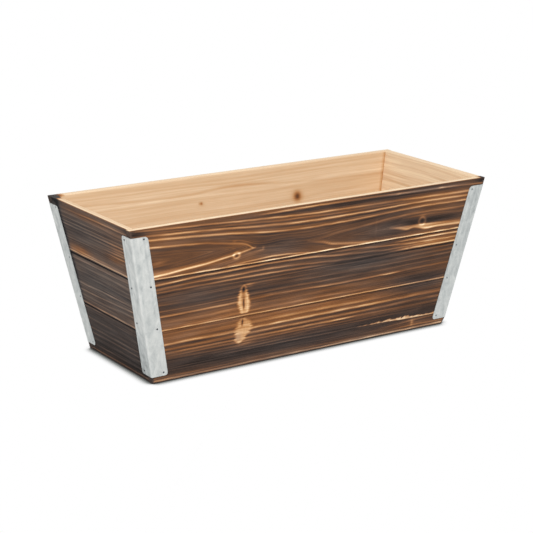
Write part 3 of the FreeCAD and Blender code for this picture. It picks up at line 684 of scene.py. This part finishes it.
def other_figure(seed, reach, knots):
    """a figure like the two sides shown: its lines sway, and part round knots of along, up and size"""
    lines = even_lines(seed, 2, 168, 38, reach, 1.2)
    arrises = []
    for height, strength in OTHER_ARRISES:
        points = [(-reach, height, strength), (0, height, strength), (reach, height, strength * 0.9)]
        arrises.append((0.9, 0.75, points))

    def figure(u, v):
        bent = v + LINES_SWAY * wander(u, LINES_SWAY_PITCH, seed + 8) * clamp(v / LINES_SWAY_FROM)
        for place, height, size in knots:
            push = PARTING * size * bell((u - place) / (PARTING_ALONG * size))
            fade = np.exp(-np.abs(v - height) / (PARTING_UP * size))
            bent = bent - push * np.tanh((v - height) / size) * fade
        tone = 0.33 + 0.06 * wander(bent, 17, seed + 3)
        tone = tone + 0.04 * wander(u, 90, seed + 4) * wander(bent, 12, seed + 5)
        soot = clamp(0.4 + 0.4 * wander(bent, 21, seed + 6) + 0.2 * wander(u, 70, seed + 7))
        draw_lines(tone, u, bent, lines, seed + 10)
        draw_lines(tone, u, v, arrises, seed + 90)
        for place, height, size in knots:
            ring_knot(tone, u, v, place, height, size, size, 0.3, 0.20, 0.14)
        return tone, soot

    return figure


def level_rings(seed):
    return lambda u, v: v + 0.8 * wander(u, 70, seed)


# The raw inner faces, with a thin line of painted shade in the inner corners where the end walls meet the
# long ones

BACK_INSIDE_LINES = [
    (1.2, 1.2, [(-215, 156.6, -4), (-120, 152, -5), (-60, 151.2, -6), (0, 154.2, -9), (50, 151.6, -5),
        (120, 147, -3), (215, 144.6, -6)]),
    (1, 1, [(-215, 161, -2), (-60, 159.8, -4), (0, 158.2, -5), (60, 159.6, -3), (215, 158.4, -3)]),
    (1.2, 1.2, [(-215, 165, -3), (0, 163.2, -4), (215, 165.4, -4)]),
    (1.4, 1.4, [(-215, 143.4, -1), (-60, 143.6, -2), (0, 143.9, -2), (60, 143, -2), (215, 142.8, -3)]),
    (1.6, 1.6, [(-150, 128.6, -3), (-100, 129.6, -3), (0, 128.4, -1), (120, 131.2, -3), (215, 134.6, -2)]),
    (1.6, 1.2, [(-215, 147.8, 3), (-60, 148.6, 4), (60, 146.4, 3), (140, 149.6, 4), (215, 149.4, 5)]),
    (1.2, 1.2, [(-215, 104, -3), (0, 106, -4), (215, 103, -3)]),
    (1.2, 1.2, [(-215, 82, -4), (0, 80, -3), (215, 84, -4)]),
    (1.2, 1.2, [(-215, 51, -3), (0, 54, -4), (215, 52, -3)]),
]
BACK_INSIDE_PATCHES = [
    (15, 153.5, 32, 3, -5), (150, 141, 55, 5, -3), (-150, 132, 50, 12, 1), (86.5, 132.2, 9, 8, -5),
    (60, 60, 120, 20, -2), (86.5, 132.2, 4.6, 4.8, -50), (-42.5, 139.7, 1.4, 1.4, -35),
    (-42, 138.6, 4, 2.2, -5),
]
CORNER_SHADE, CORNER_SHADE_INSIDE, CORNER_SHADE_REACH = 0.20, 0.6, 1.1


def inside_figure(base, lines, patches, seed):
    """a raw inner face: pale, with faint lines and what knots it has, and painted shade along its inner
    corners
    """

    def figure(u, v):
        tone = base + 0.010 * wander(v, 7, seed) + 0.006 * wander(u, 60, seed + 1)
        draw_lines(tone, u, v, lines, seed + 2)
        draw_patches(tone, u, v, patches)
        # painted shade along the inner corners where the walls meet
        corner_shade_at = half_length(v) - END_LEVEL - CORNER_SHADE_INSIDE
        return tone - CORNER_SHADE * bell((np.abs(u) - corner_shade_at) / CORNER_SHADE_REACH)

    return figure


# The sanded rims

CREST_TO, CREST_SOFT = 4.2, 1.2
SCORCH_TO, SCORCH_SOFT = 1.5, 0.6
CHAR, CHAR_STEEP = 0.71, 2.2
PAST_END = 1.001


def rim(crest, plain, scorch, dark_left, dark_right):
    """the rim: palest along its outer crest, browned at the very edge, and charred towards a corner"""

    def tone(share, depth):
        left = clamp(1 - (share + PAST_END) * HALF_RIM / max(dark_left, 0.01))
        right = clamp(1 - (PAST_END - share) * HALF_RIM / max(dark_right, 0.01))
        level = plain + (crest - plain) * clamp((CREST_TO - depth) / CREST_SOFT)
        edge = scorch * clamp((SCORCH_TO - depth) / SCORCH_SOFT)
        return level - edge - CHAR * clamp(CHAR_STEEP * np.maximum(left, right))

    return tone


# The boards

# A groove from below, as depth and height from its middle: a V whose upper edge is brushed away
GROOVE = [(0, -1), (1.17, -0.15), (1.3, 0.1), (0.35, 0.85), (0, 1.3)]
OUTER_ROW = 0.52


def section(thickness):
    """a board's cross-section as depth and height: up the face, over the rim and down inside"""
    outline = [(EASING, 0.0), (ROUND_MIDDLE, ROUND_MIDDLE), (0.0, EASING)]
    for groove in (LOWER_GROOVE, UPPER_GROOVE):
        outline += [(depth, groove + height) for depth, height in GROOVE]
    outline += [(0.0, HEIGHT - EASING), (ROUND_MIDDLE, HEIGHT - ROUND_MIDDLE), (EASING, HEIGHT)]
    outline += [(thickness - EASING, HEIGHT), (thickness - ROUND_MIDDLE, HEIGHT - ROUND_MIDDLE)]
    return outline + [(thickness, HEIGHT - EASING), (thickness, 0.0)]


def spun_board(name, thickness, columns, inner_row):
    """the section spun straight along the wall, with fine rows outside and on the rim"""
    maker = bmesh.new()
    corners = [maker.verts.new((0.0, depth, z)) for depth, z in section(thickness)]
    maker.faces.new(corners)
    for edge in list(maker.edges):
        outside = max(vert.co.y for vert in edge.verts) < thickness / 2
        on_rim = min(vert.co.z for vert in edge.verts) > HEIGHT - EASING / 2
        cuts = int(edge.calc_length() / (OUTER_ROW if outside or on_rim else inner_row))
        if cuts > 1:
            bmesh.ops.subdivide_edges(maker, edges=[edge], cuts=cuts)
    everything = maker.verts[:] + maker.edges[:] + maker.faces[:]
    bmesh.ops.spin(maker, geom=everything, axis=(0, 0, 1), cent=(0, 0, 0), dvec=(1, 0, 0), angle=0,
                   steps=columns - 1)
    bmesh.ops.recalc_face_normals(maker, faces=maker.faces[:])
    return finished(maker, name)


def vertex_places(mesh):
    flat = np.zeros(len(mesh.vertices) * 3)
    mesh.vertices.foreach_get("co", flat)
    return flat.reshape(-1, 3).T


def keep(mesh, name, values):
    """keep a number or a vector on every vertex, for the materials to read"""
    kind, word = ("FLOAT_VECTOR", "vector") if values.ndim == 2 else ("FLOAT", "value")
    mesh.attributes.new(name, kind, "POINT").data.foreach_set(word, values.astype(np.float32).ravel())


def whole_numbers(items, word):
    numbers = np.zeros(len(items), np.int32)
    items.foreach_get(word, numbers)
    return numbers


def raw_faces(mesh, depth, z, thickness):
    """1 for each face of raw wood, on the inside and the rim, and 0 for each torched one"""
    sides = whole_numbers(mesh.polygons, "loop_total")
    starts = whole_numbers(mesh.polygons, "loop_start")
    first_four = whole_numbers(mesh.loops, "vertex_index")[starts[:, None] + np.arange(4)]
    inside = depth[first_four].mean(1) > thickness / 2
    on_top = z[first_four].mean(1) > HEIGHT - EASING * 0.2
    return ((inside | on_top) & (sides == 4)).astype(np.int32)


def face_outwards(mesh):
    """turn all the faces round if they look inwards"""
    turned = bmesh.new()
    turned.from_mesh(mesh)
    if turned.calc_volume(signed=True) < 0:
        bmesh.ops.reverse_faces(turned, faces=turned.faces[:])
        turned.to_mesh(mesh)
    turned.free()


def placed(mesh, sharp_angle):
    """the mesh as a piece of the same name, shaded smooth but for its sharp edges"""
    mesh.polygons.foreach_set("use_smooth", np.ones(len(mesh.polygons), bool))
    mesh.set_sharp_from_angle(angle=math.radians(sharp_angle))
    return show(mesh.name, mesh)


# The tone at the bottom of the grooves, and of the end grain of the long walls under the rim
GROOVE_FROM, GROOVE_CLEAR = 0.1, 10
LOWER_GROOVE_TONE, UPPER_GROOVE_TONE, UPPER_GROOVE_FADE, END_GROOVE_TONE = 0.44, 0.42, 0.10, 0.15
END_GRAIN_TONE, END_GRAIN_SOOT = 0.27, 0.5
# The brush takes the soft burnt wood away, so a dark place lies deeper, and each ring shows a little
RELIEF, NO_RELIEF_TONE, RING_RELIEF, RING_PITCH = 0.22, 0.85, 0.05, 1.1
# The grain's pattern is moved on for each board, and again for its inner face
NEXT_BOARD, INNER_FACE = 500, 40


def wood_tones(share, depth, z, outer, at_end, half_at, figure, inside, rim_tone, seed):
    """tone and soot at every point: the figure, its grooves, the inner face, the rim and the end grain"""
    u = share * half_at(z)
    tone, soot = figure(u, z)
    groove_tone = END_GROOVE_TONE
    if half_at is half_length:
        groove_tone = np.where(z > 90, UPPER_GROOVE_TONE - UPPER_GROOVE_FADE * share, LOWER_GROOVE_TONE)
    in_groove = (depth > GROOVE_FROM) & outer & (z > GROOVE_CLEAR) & (z < HEIGHT - GROOVE_CLEAR)
    tone = np.where(in_groove, np.minimum(tone, groove_tone), tone)
    inner_tone = np.where(z > HEIGHT - EASING * 1.01, rim_tone(share, depth), inside(u, z))
    tone = np.where(outer & (z < HEIGHT - 0.05), tone, inner_tone)
    if half_at is half_length:
        below_rim = at_end & (z < HEIGHT - EASING / 2)
        tone = np.where(below_rim, END_GRAIN_TONE + 0.05 * wander(z, 9, seed), tone)
        soot = np.where(below_rim, END_GRAIN_SOOT, soot)
    return tone, soot


def board(name, node, thickness, half_at, place_at, columns, figure, rings, inside, rim_tone, inner_row,
          seed):
    """a wall board: spun straight along the wall, then every point is laid on the leaning wall"""
    mesh = spun_board(name, thickness, len(columns), inner_row)
    column, depth, z = vertex_places(mesh)
    share = np.interp(column, np.arange(len(columns)), columns)
    u = share * half_at(z)
    outer = depth < thickness / 2
    at_end = np.abs(share) > 0.9999
    ring = rings(u, z)
    tone, soot = wood_tones(share, depth, z, outer, at_end, half_at, figure, inside, rim_tone, seed)
    relief = RELIEF * clamp(NO_RELIEF_TONE - tone) + RING_RELIEF * wander(ring, RING_PITCH, 9)
    flat_face = (depth < 0.01) & (z > EASING * 1.5) & (z < HEIGHT - EASING * 1.5) & ~at_end
    points = place_at(share, depth + np.where(flat_face, np.maximum(relief, 0), 0), z)
    mesh.vertices.foreach_set("co", (points * MM).ravel())
    keep(mesh, "tone", tone)
    keep(mesh, "soot", soot)
    layer = np.where(outer, 0, INNER_FACE) + depth * 0.2
    keep(mesh, "rings", np.stack([u + seed * NEXT_BOARD, ring, layer], 1))
    mesh.materials.append(torched_fir)
    mesh.materials.append(raw_fir)
    mesh.polygons.foreach_set("material_index", raw_faces(mesh, depth, z, thickness))
    mesh.update()
    face_outwards(mesh)
    piece = placed(mesh, 32)
    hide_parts(node)
    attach(piece, "root")


def spread_columns(half, plain, fine_places):
    """shares along a wall, closer together where a knot needs it: from, to and the step there"""
    places = [-half]
    while places[-1] < half:
        steps = [fine for low, high, fine in fine_places if low <= places[-1] < high]
        places.append(places[-1] + min(steps + [plain]))
    return np.array([place / places[-1] if place > 0 else place / half for place in places]).clip(-1, 1)


def long_place(share, depth, z):
    return np.stack([share * half_length(z), -(half_width(z) - depth), z], 1)


WORN, WORN_HEIGHT, WORN_FROM = 2.4, 7.0, 0.96


def front_place(share, depth, z):
    """the front wall, whose foot is worn off at its right corner"""
    points = long_place(share, depth, z)
    points[:, 0] -= WORN * clamp(1 - z / WORN_HEIGHT) * clamp((share - WORN_FROM) / (1 - WORN_FROM))
    return points


def back_place(share, depth, z):
    return long_place(share, depth, z) * (1, -1, 1)


def left_place(share, depth, z):
    return np.stack([-(half_length(z) - depth), share * between(z), z], 1)


def right_place(share, depth, z):
    return left_place(share, depth, z) * (-1, 1, 1)


front_columns = spread_columns(HALF_RIM, 3.2, [(-112, -98, 1.4), (-98, -74, 0.75), (-74, -62, 1.4),
                                              (64, 178, 1.6)])
back_columns = spread_columns(HALF_RIM, 3.4, [(-48, -38, 1.2), (78, 95, 1.4), (212, 221, 0.8)])
end_columns = spread_columns(HALF_END_RIM, 2.6, [])
back_outside = other_figure(620, HALF_RIM, [(-118, 88, 4.6), (66, 141, 3.8), (150, 38, 3.2)])
right_outside = other_figure(660, HALF_END_RIM, [(24, 86, 4.2)])
front_inside = inside_figure(0.865, even_lines(51, 4, 166, -5, HALF_RIM, 2.0), [], 500)
back_inside = inside_figure(0.875, BACK_INSIDE_LINES, BACK_INSIDE_PATCHES, 520)
left_inside = inside_figure(0.865, even_lines(53, 4, 166, -5, HALF_END_RIM, 1.5), [], 540)
right_lines = even_lines(55, 4, 166, -5, HALF_END_RIM, 3.0) + even_lines(57, 3, 167, -5, HALF_END_RIM, 3.0)
# The right end's inner face gets a paler base than the other inner faces: painted light
right_inside_painted_lighter = inside_figure(0.922, right_lines, [], 560)

board("front_wall_board", "front_wall", LONG_LEVEL, half_length, front_place, front_columns,
      front_figure, front_rings, front_inside, rim(0.94, 0.92, 0.34, 0, 7), 4.0, 0)
board("back_wall_board", "back_wall", LONG_LEVEL, half_length, back_place, back_columns,
      back_outside, level_rings(61), back_inside, rim(0.91, 0.90, 0.10, 16, 0), 0.9, 1)
board("left_end_board", "left_end_wall", END_LEVEL, between, left_place, end_columns,
      end_figure, level_rings(62), left_inside, rim(0.915, 0.875, 0.55, 0, 40), 1.4, 2)
board("right_end_board", "right_end_wall", END_LEVEL, between, right_place, end_columns,
      right_outside, level_rings(63), right_inside_painted_lighter, rim(0.91, 0.905, 0.06, 0, 0), 0.9, 3)

# The corner straps

# The brads' heights as shares of the way up, first on the long wall, then on the end wall
BRAD_SHARES = {
    "front_left": ((0.011, 0.340, 0.652, 0.998), (0.014, 0.375, 0.635, 0.985)),
    "front_right": ((0.015, 0.310, 0.564, 0.987), (0.013, 0.343, 0.660, 0.992)),
    "back_left": ((0.013, 0.334, 0.665, 0.990), (0.010, 0.350, 0.639, 0.999)),
    "back_right": ((0.016, 0.326, 0.646, 0.994), (0.012, 0.356, 0.671, 0.987)),
}
BRAD_LOWEST, BRAD_HIGHEST = 9.6, 160.0
BRAD_INSET, BRAD_SLANT = 4.6, 1.021
DENT, DENT_REACH = 0.34, 1.7
WAVE, WAVE_UP, WAVE_ACROSS = 0.05, 11, 6
# The flat strap before bending: along the long wall, round the bend, and along the end wall
RUN_LONG = FLANGE_ALONG + END_SHEET - STRAP_BEND
RUN_BEND = STRAP_BEND * math.pi / 2
RUN_END = FLANGE_ACROSS + LONG_SHEET - STRAP_BEND
STRAP_FLAT = RUN_LONG + RUN_BEND + RUN_END
ACROSS_COUNT, UP_COUNT = 56, 118
SHEET_DRAWN = 0.85


def strap_dents(corner):
    """where the brads pull the sheet in: place on the flat sheet and height"""
    dents = []
    for shares, start, sign in zip(BRAD_SHARES[corner], (0, STRAP_FLAT), (1, -1)):
        for share in shares:
            height = BRAD_LOWEST + share * (BRAD_HIGHEST - BRAD_LOWEST)
            dents.append((start + sign * BRAD_INSET * BRAD_SLANT, height))
    return dents


def strap_height(flat, share):
    """the height at a share of the way up, between ends whose corners are rounded"""
    from_edge = min(flat, STRAP_FLAT - flat)
    inset = 0.0
    if from_edge < STRAP_CORNER:
        inset = STRAP_CORNER - math.sqrt(STRAP_CORNER ** 2 - (STRAP_CORNER - from_edge) ** 2)
    low, high = STRAP_FOOT + inset, STRAP_TOP - inset
    return low + (high - low) * share


def round_corner(flat, sink):
    """how far a place on the flat sheet stands past the box's corner, along the box and across it"""
    if flat < RUN_LONG:
        return flat - FLANGE_ALONG, LONG_SHEET - sink
    if flat > RUN_LONG + RUN_BEND:
        return END_SHEET - sink, LONG_SHEET - (flat - RUN_LONG - RUN_BEND) - STRAP_BEND
    turn = (flat - RUN_LONG) / STRAP_BEND
    return (END_SHEET - STRAP_BEND + STRAP_BEND * math.sin(turn),
            LONG_SHEET - STRAP_BEND + STRAP_BEND * math.cos(turn))


def strap_sheet(corner, side, end, seed):
    """a flat grid laid round the corner, dented at each brad, and given its thickness"""
    maker = bmesh.new()
    bmesh.ops.create_grid(maker, x_segments=ACROSS_COUNT, y_segments=UP_COUNT, size=1.0)
    dents = strap_dents(corner)
    for vert in maker.verts:
        flat = STRAP_FLAT * (vert.co.x + 1) / 2
        z = strap_height(flat, (vert.co.y + 1) / 2)
        sink = WAVE * (1 + math.sin(z / WAVE_UP + seed) * math.cos(flat / WAVE_ACROSS + seed))
        for dent, height in dents:
            sink += DENT * math.exp(-((flat - dent) ** 2 + (z - height) ** 2) / DENT_REACH ** 2)
        along, across = round_corner(flat, sink)
        vert.co = (end * (half_length(z) + along) * MM, side * (half_width(z) + across) * MM, z * MM)
    bmesh.ops.recalc_face_normals(maker, faces=maker.faces[:])
    facing = sum((face.normal for face in maker.faces), Vector()).dot(Vector((end, side, 0)))
    if facing < 0:
        bmesh.ops.reverse_faces(maker, faces=maker.faces[:])
    bmesh.ops.solidify(maker, geom=maker.faces[:], thickness=SHEET * SHEET_DRAWN * MM)
    bmesh.ops.recalc_face_normals(maker, faces=maker.faces[:])
    return finished(maker, f"{corner}_strap_sheet")


# How the zinc dulls: streaks down its upper part, painted shade at the foot of the end flange, and a
# painted highlight along the bend
STREAK_DULL, STREAK_PITCH, STREAK_FROM, STREAK_RISE = 0.12, 2.2, 60, 50
FOOT_SHADE_TO, FOOT_SHADE_RISE = 60, 40
BEND_HIGHLIGHT, BEND_HIGHLIGHT_IN, BEND_HIGHLIGHT_REACH = 0.12, 0.4, 1.6


def strap(corner, side, end, front_patina_and_shade, end_patina_and_shade, painted_foot_shade, seed):
    """a bent strap, its dullness and painted shade on the long wall, on the end wall and at its foot there
    """
    mesh = strap_sheet(corner, side, end, seed)
    x, y, z = np.abs(vertex_places(mesh)) / MM
    from_side, from_end = half_width(z) - y, half_length(z) - x
    on_end = clamp(from_side / 2)
    # a painted highlight along the bend, and painted shade at the foot of the end flange
    bend_highlight = np.exp(-((from_side - BEND_HIGHLIGHT_IN) ** 2 + (from_end - BEND_HIGHLIGHT_IN) ** 2) / BEND_HIGHLIGHT_REACH ** 2)
    streaks = wander(from_end + from_side, STREAK_PITCH, seed + 30) * clamp((z - STREAK_FROM) / STREAK_RISE)
    foot = painted_foot_shade * on_end * clamp((FOOT_SHADE_TO - z) / FOOT_SHADE_RISE)
    dull = front_patina_and_shade * (1 - on_end) + end_patina_and_shade * on_end + STREAK_DULL * streaks + foot
    keep(mesh, "patina_and_painted_light", dull - BEND_HIGHLIGHT * bend_highlight)
    mesh.materials.append(zinc_sheet)
    piece = placed(mesh, 50)
    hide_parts(f"{corner}_strap")
    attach(piece, "root")


# Besides real dullness, the end flanges, the front-right strap and the feet of the end flanges are painted
# darker as shade
strap("front_left", -1, -1, 0.02, 0.12, 0.30, 0)
strap("front_right", -1, 1, 0.18, 0.12, 0.10, 1)
strap("back_left", 1, -1, 0.06, 0.20, 0.0, 2)
strap("back_right", 1, 1, 0.10, 0.08, 0.10, 3)

# Materials on what stays as it is

FINISHES = [("bottom_board", raw_fir_board), ("pins", bright_wire), ("brads", rubbed_steel),
            ("front_left_strap_brads", blued_steel)]
for ending, finish in FINISHES:
    for name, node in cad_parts.items():
        if name.endswith(ending):
            node.data.materials.clear()
            node.data.materials.append(finish)

# Floor, light and camera


def shown_to_the_eye(tree):
    """1 for a ray that the camera sees, straight, mirrored or through glass, and 0 for one that lights"""
    seen = add(tree, "LightPath", {}, out="Is Camera Ray")
    for word in ("Is Glossy Ray", "Is Transmission Ray"):
        ray = add(tree, "LightPath", {}, out=word)
        seen = add(tree, "Math", {0: seen, 1: ray}, operation="MAXIMUM")
    return seen


maker = bmesh.new()
bmesh.ops.create_grid(maker, x_segments=1, y_segments=1, size=8.0)
floor_mesh = finished(maker, "floor")
floor = show("floor", floor_mesh)

# White paper that shows itself evenly lit, with a soft contact shadow within 16 mm of the planter
SHADOW_REACH = 0.016
floor_material, tree = new_material("white_paper_floor")
open_sky = add(tree, "AmbientOcclusion", {"Distance": SHADOW_REACH}, samples=24, out="AO")
paper = add(tree, "ValToRGB", {"Fac": open_sky}, [
    (0.40, "484a48"), (0.53, "a4a6a4"), (0.66, "e8e8e8"), (0.80, "ffffff"),
])
lit = add(tree, "BsdfDiffuse", {"Color": shade("f0f0f0")})
shown = add(tree, "Emission", {"Color": paper, "Strength": 1.0})
surface = add(tree, "MixShader", {0: shown_to_the_eye(tree), 1: lit, 2: shown})
add(tree, "OutputMaterial", {"Surface": surface})
floor_mesh.materials.append(floor_material)

# A white studio that lights with about half of the brightness that it shows
SKY = 0.55
world = bpy.data.worlds.new("studio")
bpy.context.scene.world = world
world.use_nodes = True
tree = world.node_tree
tree.nodes.clear()
strength = add(tree, "MapRange", {"Value": shown_to_the_eye(tree), 3: SKY, 4: 1.0})
sky = add(tree, "Background", {"Color": (1, 1, 1, 1), "Strength": strength})
add(tree, "OutputWorld", {"Surface": sky})

PLANTER_MIDDLE = Vector((0, 0, 0.09))


def lamp(name, place, size, power):
    """a soft box that faces the middle of the planter"""
    light = bpy.data.lights.new(name, "AREA")
    light.shape = "SQUARE"
    light.size = size
    light.energy = power
    holder = show(name, light)
    holder.location = place
    holder.rotation_mode = "QUATERNION"
    holder.rotation_quaternion = (PLANTER_MIDDLE - Vector(place)).to_track_quat("-Z", "Y")


lamp("key", (-1.15, -1.85, 1.9), 1.6, 73)
lamp("back_fill", (1.2, 1.8, 1.8), 1.8, 10)

# The camera was fitted to the corners of the planter in the photograph; millimetres and degrees
CAMERA_AIM = Vector((-6.45, 0, 80.28))
CAMERA_DISTANCE = 1811.1
CAMERA_AZIMUTH, CAMERA_ELEVATION, CAMERA_ROLL = -33.687, 15.889, 0.435
camera_data = bpy.data.cameras.new("camera")
camera_data.lens = 111.76
camera_data.sensor_width = 36.0
camera = show("camera", camera_data)
azimuth, elevation = math.radians(CAMERA_AZIMUTH), math.radians(CAMERA_ELEVATION)
level_part = math.cos(elevation)
back = Vector((math.sin(azimuth) * level_part, -math.cos(azimuth) * level_part, math.sin(elevation)))
camera.location = CAMERA_AIM * MM + back * CAMERA_DISTANCE * MM
camera.rotation_mode = "QUATERNION"
roll = Quaternion((0, 0, 1), math.radians(CAMERA_ROLL))
camera.rotation_quaternion = (-back).to_track_quat("-Z", "Y") @ roll
bpy.context.scene.camera = camera
bpy.context.scene.view_settings.view_transform = "Standard"
